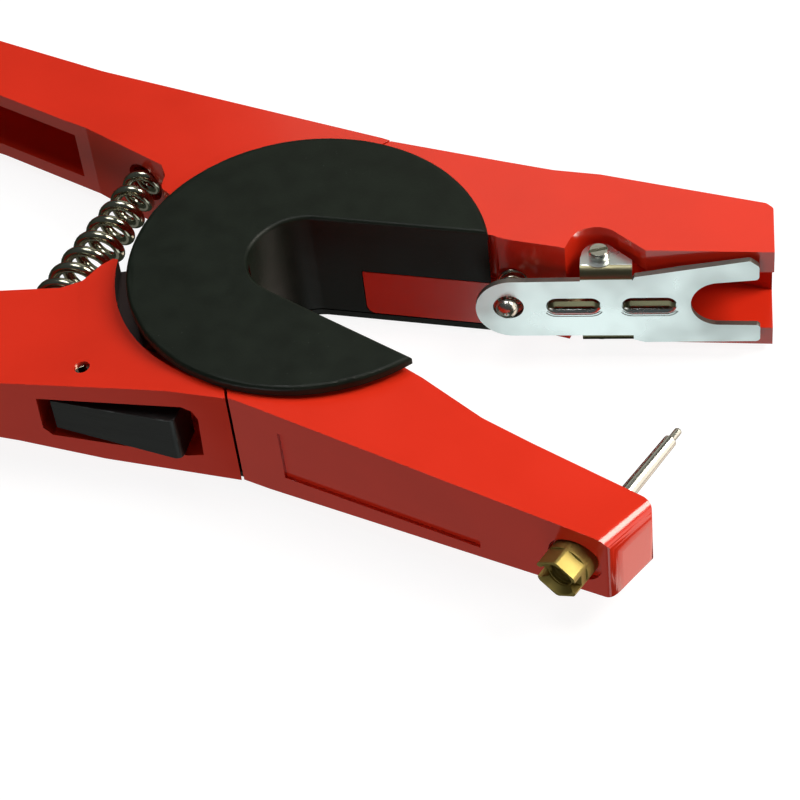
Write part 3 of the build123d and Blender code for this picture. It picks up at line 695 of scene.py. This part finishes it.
def new_piece(name: str, mesh: bpy.types.Mesh, material: bpy.types.Material,
              body: Body, slot: Slot, *nodes: str) -> bpy.types.Object:
    """Put a finished mesh into the scene as a piece that rides on a body.

    Args:
        name: The piece's name.
        mesh: Its mesh, in the frame's place.
        material: Its finish.
        body: The body that it rides on.
        slot: Not used.
        *nodes: The CAD nodes that it stands for.

    Returns:
        The piece.
    """
    mesh.materials.clear()
    mesh.materials.append(material)
    piece = bpy.data.objects.new(name, mesh)
    bpy.context.scene.collection.objects.link(piece)
    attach(piece, body.value)
    if nodes:
        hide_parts(*nodes)
    even = piece.modifiers.new("even_shading", "WEIGHTED_NORMAL")
    even.keep_sharp = True
    LOG.info("%s: %d faces on %s", name, len(mesh.polygons), body.value)
    return piece


def new_spring(node: str, mesh: bpy.types.Mesh, wire: bpy.types.Material, presser: Body) -> None:
    """Put a coil into the scene, fixed in the frame.

    Args:
        node: The CAD node that it stands for.
        mesh: Its mesh, in the frame's place.
        wire: The wire's finish.
        presser: The body that presses on it, named in the log.
    """
    mesh.materials.clear()
    mesh.materials.append(wire)
    spring = bpy.data.objects.new(node + "_coil", mesh)
    bpy.context.scene.collection.objects.link(spring)
    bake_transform(spring)
    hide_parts(node)
    LOG.info("%s_coil: %d faces, pressed by %s", node, len(mesh.polygons), presser.value)


@dataclass(frozen=True)
class NoseRounding:
    """The near jaw's end, whose edges are drawn in to soft roundings.

    The pairs hold the lower and the upper edge's radius, the near and the far side's
    radius, and how far the near and the far corner move along the jaw.
    """

    near: tuple[float, float] = (106.0, -43.8)
    far: tuple[float, float] = (112.6, -32.3)
    heights: tuple[float, float, float] = (6.4, 14.0, 21.6)
    rounds: tuple[float, float] = (2.0, 3.6)
    side_rounds: tuple[float, float] = (1.5, 0.0)
    shifts: tuple[float, float] = (0.8, -2.0)
    jaw: tuple[float, float] = (0.998, -0.065)
    rim: float = 2.3
    reach: float = 10.0
    steps: int = 12

    def end_face(self) -> tuple[Vector, Vector, float]:
        """Where the end face runs.

        Returns:
            The direction along it, the one out of it, and its width in millimetres.
        """
        line = Vector((self.far[0] - self.near[0], self.far[1] - self.near[1], 0.0))
        along = line.normalized()
        return along, Vector((along.y, -along.x, 0.0)), line.length

    def behind(self, at: Vector) -> float:
        """How far a place lies behind the end face, in millimetres."""
        return -(in_mm(at) - Vector((*self.near, 0.0))).dot(self.end_face()[1])

    def holds(self, edge: bmesh.types.BMEdge) -> bool:
        """Whether an edge bounds the end face, which gets its own rounding."""
        return all(self.behind(v.co) < self.rim for v in edge.verts)

    def drop(self, radius: float, depth: float) -> float:
        """How far a rounding of this radius has fallen at this depth behind the end."""
        left = max(radius - depth, 0.0)
        return radius - math.sqrt(radius ** 2 - left ** 2)

    def slice_end(self, work: bmesh.types.BMesh) -> None:
        """Cut the end into slices, thinnest at its face.

        Args:
            work: The casting's mesh.
        """
        out = self.end_face()[1]
        near = Vector((*self.near, 0.0))
        for step in range(1, self.steps + 1):
            turn = math.radians(90.0 * step / self.steps)
            depth = max(self.rounds) * (1.0 - math.cos(turn))
            bmesh.ops.bisect_plane(
                work, geom=work.verts[:] + work.edges[:] + work.faces[:], dist=mm(0.001),
                plane_co=in_metres(near - out * depth), plane_no=out)

    def draw_in(self, work: bmesh.types.BMesh) -> None:
        """Draw the end's slices in by the roundings, and turn its face.

        Args:
            work: The casting's mesh.
        """
        self.slice_end(work)
        along, _, width = self.end_face()
        jaw = Vector((*self.jaw, 0.0))
        near = Vector((*self.near, 0.0))
        low, middle, top = self.heights
        for vert in work.verts:
            depth = max(self.behind(vert.co), 0.0)
            if depth > self.reach:
                continue
            at = in_mm(vert.co)
            up = at.z > middle
            room = (top - middle) if up else (middle - low)
            at.z = middle + (at.z - middle) * (1 - self.drop(self.rounds[up], depth) / room)
            place = (at - near).dot(along)
            beyond = place > width / 2
            pull = self.drop(self.side_rounds[beyond], depth) / (width / 2)
            at -= along * (place - width / 2) * pull
            share = 1.0 - depth / self.reach
            shift = self.shifts[0] + (self.shifts[1] - self.shifts[0]) * place / width
            at += jaw * shift * share
            vert.co = in_metres(at)


@dataclass(frozen=True)
class SoftenedEdges:
    """Copies a CAD node's mesh and rounds the sharp edges that a real piece hasn't.

    An edge is rounded where its faces turn by more than sharp, and faces that turn by less
    than flat become one, both in degrees.
    """

    width: float = 0.5
    segments: int = 3
    flat: float = 4.0
    sharp: float = 32.0
    weld: float = 0.004

    def copy(self, node: str, nose: NoseRounding | None = None) -> bpy.types.Mesh:
        """Copy and soften a node's mesh.

        Args:
            node: The CAD node.
            nose: How the node's end is drawn in, where it has one.

        Returns:
            The new mesh, smooth shaded, with its rounded strips marked.
        """
        work = bmesh.new()
        work.from_mesh(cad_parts[node].data)
        bmesh.ops.remove_doubles(work, verts=work.verts, dist=mm(self.weld))
        bmesh.ops.dissolve_limit(work, angle_limit=math.radians(self.flat),
                                 verts=work.verts, edges=work.edges)
        sharp = [e for e in work.edges
                 if e.is_manifold and e.calc_face_angle(0.0) > math.radians(self.sharp)]
        if nose is not None:
            sharp = [e for e in sharp if not nose.holds(e)]
        mark = work.faces.layers.float.new(EDGE_MARK)
        made = bmesh.ops.bevel(work, geom=sharp, offset=mm(self.width),
                               offset_type="OFFSET", segments=self.segments, profile=0.5,
                               affect="EDGES", clamp_overlap=True, material=-1)
        for face in made["faces"]:
            face[mark] = 1.0
        if nose is not None:
            nose.draw_in(work)
        for face in work.faces:
            face.smooth = True
        mesh = bpy.data.meshes.new(node)
        work.to_mesh(mesh)
        work.free()
        mesh.set_sharp_from_angle(angle=math.radians(self.sharp))
        return mesh


def sweep(path: list[Vector], radius: float, sides: int,
          dome: float = 0.35) -> bpy.types.Mesh:
    """Sweep a round wire along a line of points, with domed ends.

    Args:
        path: The wire's centre points.
        radius: The wire's radius.
        sides: Points round the wire.
        dome: How far its ends stand out, as a share of the radius.

    Returns:
        The wire's mesh, smooth shaded.
    """
    work = bmesh.new()
    rings = []
    side = None
    for index, at in enumerate(path):
        ahead = path[min(index + 1, len(path) - 1)] - path[max(index - 1, 0)]
        ahead.normalize()
        if side is None:
            side = ahead.orthogonal().normalized()
        side = (side - ahead * side.dot(ahead)).normalized()
        other = ahead.cross(side)
        ring = []
        for step in range(sides):
            turn = 2 * math.pi * step / sides
            ring.append(work.verts.new(at + radius * (math.cos(turn) * side
                                                      + math.sin(turn) * other)))
        rings.append(ring)
    for ring, after in zip(rings, rings[1:]):
        for step in range(sides):
            beside = (step + 1) % sides
            work.faces.new((ring[step], ring[beside], after[beside], after[step]))
    for ring, inner in ((rings[0], path[0] - path[1]), (rings[-1], path[-1] - path[-2])):
        tip = work.verts.new(sum((v.co for v in ring), Vector()) / sides
                             + inner.normalized() * radius * dome)
        for step in range(sides):
            work.faces.new((ring[step], ring[(step + 1) % sides], tip))
    bmesh.ops.recalc_face_normals(work, faces=work.faces)
    for face in work.faces:
        face.smooth = True
    mesh = bpy.data.meshes.new("wire")
    work.to_mesh(mesh)
    work.free()
    return mesh


def coil_path(seat: Vector, along: Vector, radii: tuple[float, float], length: float,
              turns: float, start_turn: float = 0.0, steps: int = 28) -> list[Vector]:
    """The centre line of a coil.

    Args:
        seat: The coil's start, on its axis.
        along: The axis' direction.
        radii: The mean radius at the start and the end.
        length: The coil's length.
        turns: How many turns it has.
        start_turn: The angle that the wire starts at, in degrees.
        steps: Points in a turn.

    Returns:
        The points.
    """
    along = along.normalized()
    side = Vector((0, 0, 1))
    other = along.cross(side)
    points = []
    count = round(turns * steps)
    for step in range(count + 1):
        share = step / count
        radius = radii[0] + (radii[1] - radii[0]) * share
        turn = math.radians(start_turn) + 2 * math.pi * turns * share
        points.append(seat + along * (length * share)
                      + radius * (math.cos(turn) * side + math.sin(turn) * other))
    return points


WIRE_EDGES = SoftenedEdges(width=0.03, segments=1, flat=0.5, sharp=60.0)


# Sub-assemblies


@dataclass
class Levers:
    """The two enamelled castings."""

    finishes: Finishes
    edges: SoftenedEdges = SoftenedEdges(width=0.8, segments=4, flat=3.0)
    groove_middle: tuple[float, float] = (23.6, 4.9)
    groove_radius: float = 41.3
    groove_heights: tuple[float, float] = (18.6, 25.3)
    groove_ends: tuple[float, float] = (6.0, 0.0)

    def build(self) -> None:
        """Soften both castings' edges and paint them."""
        new_piece("pin_lever_casting", self.edges.copy("pin_lever", NoseRounding()),
                  self.finishes.red, Body.PIN_SIDE, Slot.RED_PAINT, "pin_lever")
        casting = new_piece("clip_lever_casting", self.edges.copy("clip_lever"),
                            self.finishes.red, Body.CLIP_SIDE, Slot.RED_PAINT, "clip_lever")
        self.paint_groove_shade(casting.data)

    def paint_groove_shade(self, mesh: bpy.types.Mesh) -> None:
        """Paint shade into the groove round the cover: its faces get a near black enamel.

        Args:
            mesh: The casting's mesh.
        """
        mesh.materials.append(self.finishes.groove_shade)
        low, top = self.groove_heights
        for face in mesh.polygons:
            at = in_mm(face.center)
            reach = math.hypot(at.x - self.groove_middle[0], at.y - self.groove_middle[1])
            beside = at.x < self.groove_ends[0] and at.y < self.groove_ends[1]
            # Painted shade: faces in the groove get the near black enamel.
            if reach < self.groove_radius and low < at.z < top and beside:
                face.material_index = 1


@dataclass
class Cover:
    """The C shaped cover's two mouldings and the screws that hold them."""

    finishes: Finishes
    edges: SoftenedEdges = SoftenedEdges(width=0.5, segments=3)
    screw_edges: SoftenedEdges = SoftenedEdges(width=0.12, segments=2)

    def build(self) -> None:
        """Soften the mouldings' edges and dress the screws."""
        for node in ("cover_top", "cover_bottom"):
            new_piece(node + "_moulding", self.edges.copy(node), self.finishes.moulding,
                      Body.CLIP_SIDE, Slot.BLACK_MOULDING, node)
        new_piece("cover_screw_set", self.screw_edges.copy("cover_screws"),
                  self.finishes.zinc, Body.CLIP_SIDE, Slot.ZINC_STEEL, "cover_screws")


@dataclass
class Pivot:
    """The main pivot's bolt, nut and washers."""

    finishes: Finishes
    edges: SoftenedEdges = SoftenedEdges(width=0.2, segments=2)
    thin_edges: SoftenedEdges = SoftenedEdges(width=0.08, segments=1)

    def build(self) -> None:
        """Soften and dress each turned piece."""
        for node in ("pivot_bolt", "pivot_nut", "pivot_washer"):
            new_piece(node + "_plated", self.edges.copy(node), self.finishes.zinc,
                      Body.CLIP_SIDE, Slot.ZINC_STEEL, node)
        new_piece("thrust_washer_turned", self.thin_edges.copy("thrust_washer"),
                  self.finishes.brass, Body.CLIP_SIDE, Slot.BRASS, "thrust_washer")


@dataclass
class ReturnSpring:
    """The conical spring, which leans a little between the handles."""

    finishes: Finishes
    seat: tuple[float, float, float] = (-25.2, -25.6, 14.0)
    lean: float = 2.6
    length: float = 50.7
    wire: float = 2.3
    radii: tuple[float, float] = (5.4, 2.9)
    turns: float = 9.66
    start_turn: float = 44.0
    sides: int = 16
    end_room: float = 2.0

    def build(self) -> None:
        """Wind the spring between the two levers."""
        _, along = heading(self.lean)
        seat = point(*self.seat)
        path = coil_path(seat, along, (mm(self.radii[0]), mm(self.radii[1])),
                         mm(self.length), self.turns, self.start_turn)
        new_spring("return_spring", sweep(path, mm(self.wire / 2), self.sides),
                   self.finishes.wire, Body.PIN_SIDE)


@dataclass
class TagPin:
    """The stepped pin and the brass nut that holds it."""

    finishes: Finishes
    pin_edges: SoftenedEdges = SoftenedEdges(width=0.1, segments=2, flat=1.0)
    nut_edges: SoftenedEdges = SoftenedEdges(width=0.25, segments=3, flat=1.0)
    seat: tuple[float, float, float] = (98.0, -45.9, 14.0)
    angle: float = 79.3
    bore: float = 2.6
    thread_start: float = -1.9
    thread_end: float = 0.8
    thread_pitch: float = 0.7
    thread_size: float = 0.24
    thread_sides: int = 6

    def build(self) -> None:
        """Soften the pin's and the nut's edges, and cut the nut's thread."""
        new_piece("applicator_pin_turned", self.pin_edges.copy("applicator_pin"),
                  self.finishes.steel, Body.PIN_SIDE, Slot.POLISHED_STEEL,
                  "applicator_pin")
        new_piece("pin_nut_turned", self.nut_edges.copy("pin_nut"), self.finishes.brass,
                  Body.PIN_SIDE, Slot.BRASS, "pin_nut")
        along, _ = heading(self.angle)
        length = self.thread_end - self.thread_start
        path = coil_path(point(*self.seat) + along * mm(self.thread_start), along,
                         (mm(self.bore), mm(self.bore)), mm(length),
                         length / self.thread_pitch)
        new_piece("pin_nut_thread", sweep(path, mm(self.thread_size / 2), self.thread_sides),
                  self.finishes.brass, Body.PIN_SIDE, Slot.BRASS)


@dataclass
class ForkClip:
    """The forked sheet clip with its screw, stud and spring.

    Places on the clip are u along it from the stud, its depth behind the front face,
    and the height. The strips are what the plate keeps across its two slots.
    """

    finishes: Finishes
    plate_edges: SoftenedEdges = SoftenedEdges(width=0.22, segments=3)
    hardware_edges: SoftenedEdges = SoftenedEdges(width=0.15, segments=2, flat=1.0)
    front: tuple[float, float] = (61.5, 12.9)
    angle: float = 20.2
    slot_places: tuple[float, float] = (13.3, 28.4)
    slot_height: float = 14.2
    slot_length: float = 11.0
    slot_width: float = 4.2
    spring_place: float = 0.8
    spring_ends: tuple[float, float] = (8.4, 1.2)
    lip: float = 1.1
    lip_depth: float = 0.98
    lip_sink: float = 0.45
    lip_overlap: float = 0.45
    lip_steps: int = 10
    lip_sides: int = 10
    strip_reach: tuple[float, float] = (6.3, 1.3)
    strip_depth: float = 0.3
    strip_drop: float = 0.5
    strip_share: float = 0.7
    bend_height: float = 7.3
    bend_depth: float = 2.6
    bend_slope: float = -0.2
    sheared_depth: float = 1.3
    sheared_slope: float = 0.75

    def build(self) -> None:
        """Dress the clip and the hardware that it rocks on."""
        plate = new_piece("clip_plate_pressed", self.plate_edges.copy("clip_plate"),
                          self.finishes.sheet, Body.CLIP, Slot.BRIGHT_SHEET, "clip_plate")
        self.tint_faces(plate.data)
        for number, middle in enumerate(self.slot_places, 1):
            lip = sweep(self.lip_path(middle), mm(self.lip), self.lip_sides)
            new_piece(f"slot_lip_{number}", lip, self.finishes.sheet, Body.CLIP,
                      Slot.BRIGHT_SHEET)
        for node, slot, metal in (("clip_screw", Slot.POLISHED_STEEL, self.finishes.steel),
                                  ("guide_stud", Slot.POLISHED_STEEL, self.finishes.steel),
                                  ("clip_nut", Slot.ZINC_STEEL, self.finishes.zinc)):
            new_piece(node + "_made", self.hardware_edges.copy(node), metal,
                      Body.CLIP_SIDE, slot, node)
        new_spring("clip_spring", WIRE_EDGES.copy("clip_spring"), self.finishes.wire,
                   Body.CLIP)

    def place(self, u: float, depth: float, height: float) -> Vector:
        """A place on the clip.

        Args:
            u: How far along the clip from the stud, in millimetres.
            depth: How far behind its front face.
            height: How high over the plane the tool lies on.

        Returns:
            The place in the frame.
        """
        along, back = heading(self.angle)
        return in_metres(Vector((*self.front, height)) + along * u + back * depth)

    def lip_path(self, middle: float) -> list[Vector]:
        """The U shaped line of a slot's turned lip, along its lower edge.

        Args:
            middle: The slot's middle along the clip.

        Returns:
            The line's points.
        """
        radius = self.slot_width / 2 + self.lip * self.lip_overlap
        reach = (self.slot_length - self.slot_width) / 2
        points = []
        for end, start_turn in ((-1, 180.0), (1, 270.0)):
            for step in range(self.lip_steps):
                turn = math.radians(start_turn + step * 90.0 / (self.lip_steps - 1))
                depth = self.lip_depth + self.lip_sink * (1.0 + math.sin(turn)) ** 2
                points.append(self.place(middle + end * reach + radius * math.cos(turn),
                                         depth, self.slot_height + radius * math.sin(turn)))
        return points

    def tint_faces(self, mesh: bpy.types.Mesh) -> None:
        """Paint shade onto the strips and a dark reflection onto the ears' bends, and give the
        sheared edges their own finish.

        The strips are also drawn in a little, as they stand free of the slots' edges.

        Args:
            mesh: The clip's mesh.
        """
        mesh.materials.append(self.finishes.strip)
        mesh.materials.append(self.finishes.sheared)
        along, back = heading(self.angle)
        start = self.place(0, 0, 0)
        strip_half, strip_height = self.strip_reach
        strip: set[int] = set()
        for face in mesh.polygons:
            offset = in_mm(face.center - start)
            depth = offset.dot(back)
            near = min(abs(offset.dot(along) - u) for u in self.slot_places)
            height = abs(offset.z - self.slot_height)
            slope = face.normal.dot(back)
            # Painted shade: the set back strips get the dark olive sheet.
            if depth > self.strip_depth and near < strip_half and height < strip_height:
                face.material_index = 1
                strip.update(face.vertices)
            # Painted reflection: the ears' bends get the dark olive sheet.
            elif (height > self.bend_height and depth < self.bend_depth
                  and slope < self.bend_slope):
                face.material_index = 1
            elif depth < self.sheared_depth and abs(slope) < self.sheared_slope:
                face.material_index = 2
        for index in strip:
            vert = mesh.vertices[index]
            height = in_mm(vert.co).z - self.slot_height
            vert.co.z = mm(self.slot_height - self.strip_drop + height * self.strip_share)


@dataclass
class ThumbLatch:
    """The black lever in the near handle, its pin and its spring."""

    finishes: Finishes
    lever_edges: SoftenedEdges = SoftenedEdges(width=0.5, segments=3)
    pin_edges: SoftenedEdges = SoftenedEdges(width=0.1, segments=2)
    pivot: tuple[float, float, float] = (-6.1, -39.0, 14.0)
    angle: float = 10.6
    spring_place: float = 13.0
    spring_ends: tuple[float, float] = (7.7, 1.85)

    def build(self) -> None:
        """Soften the lever and dress its hardware."""
        new_piece("latch_lever_moulding", self.lever_edges.copy("latch_lever"),
                  self.finishes.latch, Body.LATCH, Slot.LATCH_PLASTIC, "latch_lever")
        new_piece("latch_pin_rolled", self.pin_edges.copy("latch_pin"), self.finishes.wire,
                  Body.CLIP_SIDE, Slot.SPRING_STEEL, "latch_pin")
        new_spring("latch_spring", WIRE_EDGES.copy("latch_spring"), self.finishes.wire,
                   Body.LATCH)


@dataclass(frozen=True)
class Lamp:
    """A soft square lamp: its direction from the tool, distance, side and brightness."""

    name: str
    toward: tuple[float, float, float]
    distance: float
    side: float
    power: float
    tint: tuple[float, float, float] = (1.0, 1.0, 1.0)


@dataclass
class Studio:
    """The world, the floor, the lamps and the camera."""

    lamps: tuple[Lamp, ...] = (
        Lamp("window_right", (0.6, 0.36, 0.72), 800.0, 0.34, 5.2, (1.0, 0.95, 0.86)),
        Lamp("overhead", (-0.1, 0.1, 0.99), 900.0, 0.4, 2.6),
        Lamp("back_wall", (-0.25, 0.83, 0.5), 900.0, 0.55, 0.45, (1.0, 0.97, 0.82)),
        Lamp("front_low", (-0.1, -0.99, 0.02), 900.0, 0.28, 1.7),
        Lamp("right_low", (0.93, 0.35, 0.1), 800.0, 0.7, 2.6, (1.0, 0.92, 0.84)),
        Lamp("table_left", (-0.5, -0.5, -0.7), 700.0, 0.55, 0.18, (1.0, 1.0, 0.95)),
        Lamp("table_right", (0.65, 0.25, -0.69), 700.0, 0.5, 1.0, (1.0, 0.84, 0.74)),
        Lamp("table_front", (0.24, -0.67, -0.7), 700.0, 0.34, 0.4, (0.92, 1.0, 0.99)),
    )
    sky: tuple[float, float, float, float] = (0.06, 0.068, 0.068, 1.0)
    ground: tuple[float, float, float, float] = (0.035, 0.04, 0.03, 1.0)
    horizon: tuple[float, float] = (0.1, 0.55)
    floor_side: float = 3.0
    floor_drop: float = 0.4
    floor_glow: float = 0.9
    floor_tone: float = 0.2
    aim: tuple[float, float, float] = (20.0, 0.0, 14.0)
    camera_place: tuple[float, float, float] = (220.0, -305.6, 360.8)
    camera_right: tuple[float, float, float] = (0.9037, 0.4184, -0.0910)
    camera_down: tuple[float, float, float] = (0.2472, -0.6834, -0.6869)
    focal_pixels: float = 2468.5
    picture_pixels: float = 800.0
    sensor: float = 36.0
    camera_nearest: float = 10.0

    def build(self) -> None:
        """Set up everything that isn't the tool."""
        self.light_world()
        self.lay_floor()
        for lamp in self.lamps:
            self.hang_lamp(lamp)
        self.place_camera()
        bpy.context.scene.view_settings.view_transform = "Standard"

    def light_world(self) -> None:
        """A dim sky over a darker ground, which both show white to the camera."""
        world = bpy.data.worlds.new("studio")
        bpy.context.scene.world = world
        world.use_nodes = True
        sheet = NodeSheet(world.node_tree)
        back = world.node_tree.nodes["Background"]
        toward = sheet.add("TexCoord").outputs["Generated"]
        height = sheet.add("SeparateXYZ", {0: toward}).outputs["Z"]
        room = sheet.mix(sheet.spread(height, *self.horizon), self.ground, self.sky)
        rays = sheet.add("LightPath").outputs
        shown = sheet.combine("MAXIMUM", rays["Is Camera Ray"], rays["Is Transmission Ray"])
        sheet.feed(back.inputs["Color"], sheet.mix(shown, room, (1.0, 1.0, 1.0, 1.0)))
        back.inputs["Strength"].default_value = 1.0

    def lay_floor(self) -> None:
        """A white floor just under the tool, which keeps its soft shadow.

        Only the camera sees it, so the lamps under its edge still light the tool's sides.
        """
        half = self.floor_side / 2
        mesh = bpy.data.meshes.new("floor")
        mesh.from_pydata([(-half, -half, 0), (half, -half, 0), (half, half, 0),
                          (-half, half, 0)], [], [(0, 1, 2, 3)])
        floor = bpy.data.objects.new("floor", mesh)
        floor.location.z = -mm(self.floor_drop)
        bpy.context.scene.collection.objects.link(floor)
        white = bpy.data.materials.new("floor")
        white.use_nodes = True
        shader = white.node_tree.nodes["Principled BSDF"]
        shader.inputs["Base Color"].default_value = (self.floor_tone,) * 3 + (1.0,)
        shader.inputs["Roughness"].default_value = 1.0
        shader.inputs["Specular IOR Level"].default_value = 0.0
        shader.inputs["Emission Color"].default_value = (1.0, 1.0, 1.0, 1.0)
        shader.inputs["Emission Strength"].default_value = self.floor_glow
        mesh.materials.append(white)
        floor.visible_shadow = False
        floor.visible_diffuse = False
        floor.visible_glossy = False

    def hang_lamp(self, lamp: Lamp) -> None:
        """Hang a lamp so that it faces the tool.

        Args:
            lamp: The lamp's values.
        """
        light = bpy.data.lights.new(lamp.name, "AREA")
        light.size = lamp.side
        light.energy = lamp.power
        light.color = lamp.tint
        toward = Vector(lamp.toward).normalized()
        holder = bpy.data.objects.new(lamp.name, light)
        holder.location = point(*self.aim) + toward * mm(lamp.distance)
        holder.rotation_euler = (-toward).to_track_quat("-Z", "Y").to_euler()
        bpy.context.scene.collection.objects.link(holder)

    def place_camera(self) -> None:
        """Set the camera where the photograph was taken from."""
        right = Vector(self.camera_right).normalized()
        down = Vector(self.camera_down)
        down = (down - right * down.dot(right)).normalized()
        up = -down
        back = right.cross(up)
        camera = bpy.data.cameras.new("camera")
        camera.sensor_width = self.sensor
        camera.lens = self.focal_pixels / self.picture_pixels * self.sensor
        camera.clip_start = mm(self.camera_nearest)
        holder = bpy.data.objects.new("camera", camera)
        holder.matrix_world = Matrix.Translation(point(*self.camera_place)) @ Matrix(
            (right, up, back)).transposed().to_4x4()
        bpy.context.scene.collection.objects.link(holder)
        bpy.context.scene.camera = holder


def main() -> None:
    """Build every sub-assembly, then the studio."""
    logging.basicConfig(level=logging.INFO, format="%(name)s: %(message)s")
    finishes = build_finishes()
    assemblies = (Levers(finishes), Cover(finishes), Pivot(finishes),
                  ReturnSpring(finishes), TagPin(finishes), ForkClip(finishes),
                  ThumbLatch(finishes), Studio())
    for assembly in assemblies:
        LOG.info("building %s", type(assembly).__name__)
        assembly.build()


if __name__ == "__main__":
    main()
